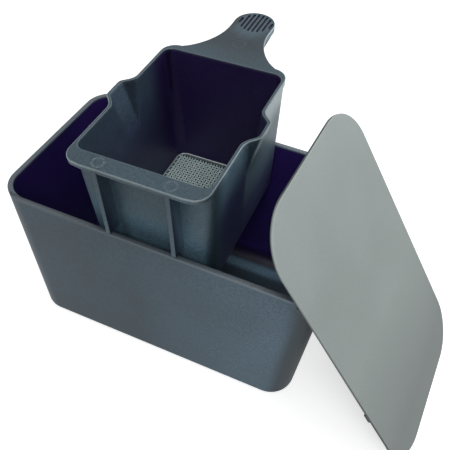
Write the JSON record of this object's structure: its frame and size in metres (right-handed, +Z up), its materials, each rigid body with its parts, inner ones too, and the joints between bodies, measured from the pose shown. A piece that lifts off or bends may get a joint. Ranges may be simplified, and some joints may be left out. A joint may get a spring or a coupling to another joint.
{
  "type": "aquarium filter box",
  "caption": "Open drafted filter tub with a lift-out media basket parked on its front rim, a sieve in the basket's floor, and a thin flat lid leaning against its side.",
  "frame": {"origin": "middle of the tub's flat underside, which stands on z = 0", "axes": "+Z up, +X along the tub's long side towards the leaning lid, +Y from the parked basket's front lip towards its handle"},
  "size_m": [0.2418, 0.1521, 0.1462],
  "materials": {
    "tub": "fine matte moulded slate grey",
    "basket": "satin moulded dark slate grey",
    "sieve": "pale grey-green woven net",
    "lid": "fine matte moulded grey-green"
  },
  "bodies": {
    "tub": {"tub": "tub"},
    "basket": {"media_basket": "basket", "sieve_mesh": "sieve"},
    "lid": {"lid": "lid"}
  },
  "joints": [
    {"name": "basket_lift", "type": "slide", "parent": "tub", "child": "basket", "axis": [0, 0, 1], "range_m": [0, 0.09]},
    {"name": "lid_lift", "type": "slide", "parent": "tub", "child": "lid", "axis": [0, 0, 1], "range_m": [0, 0.15]}
  ]
}
